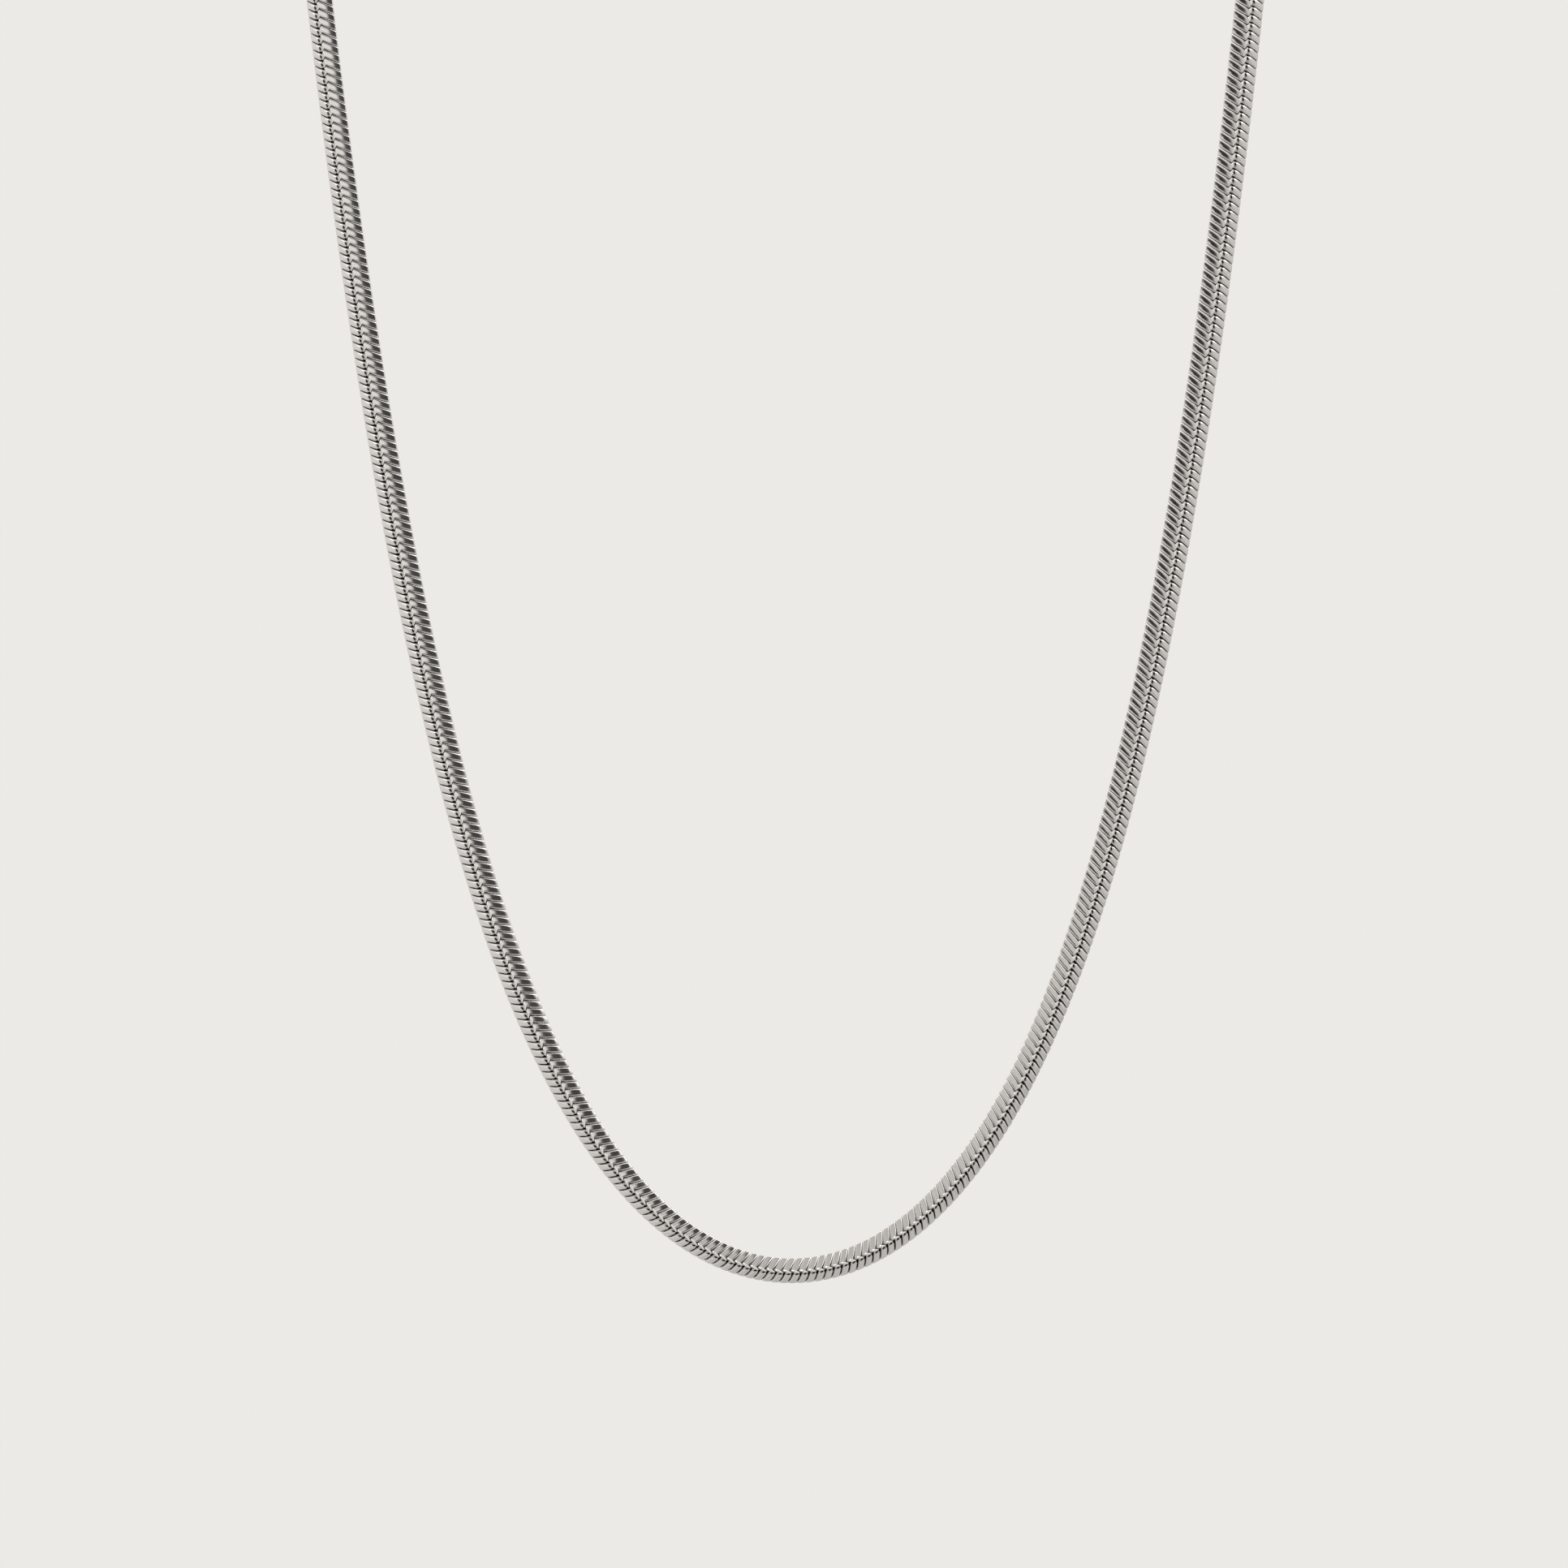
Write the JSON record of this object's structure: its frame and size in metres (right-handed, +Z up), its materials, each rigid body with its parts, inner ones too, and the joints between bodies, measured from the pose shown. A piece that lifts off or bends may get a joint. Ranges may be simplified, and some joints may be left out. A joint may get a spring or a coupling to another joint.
{
  "type": "snake chain necklace",
  "caption": "Square snake chain necklace of nested wavy band links in polished silver, kept hanging as round a neck, closed at the nape by a plain barrel clasp.",
  "frame": {"origin": "middle of the neck's hollow, between the two sides where the chain lies on the neck", "axes": "+Z up, the front of the chest towards -Y, +X to the viewer's right as seen from the front"},
  "size_m": [0.1152, 0.0632, 0.1763],
  "materials": {
    "chain_silver": "polished silver band links, bright, with dark gaps",
    "clasp_silver": "polished silver with fine wear scratches"
  },
  "bodies": {
    "root": {"snake_chain": "chain_silver", "clasp": "clasp_silver"}
  },
  "joints": []
}
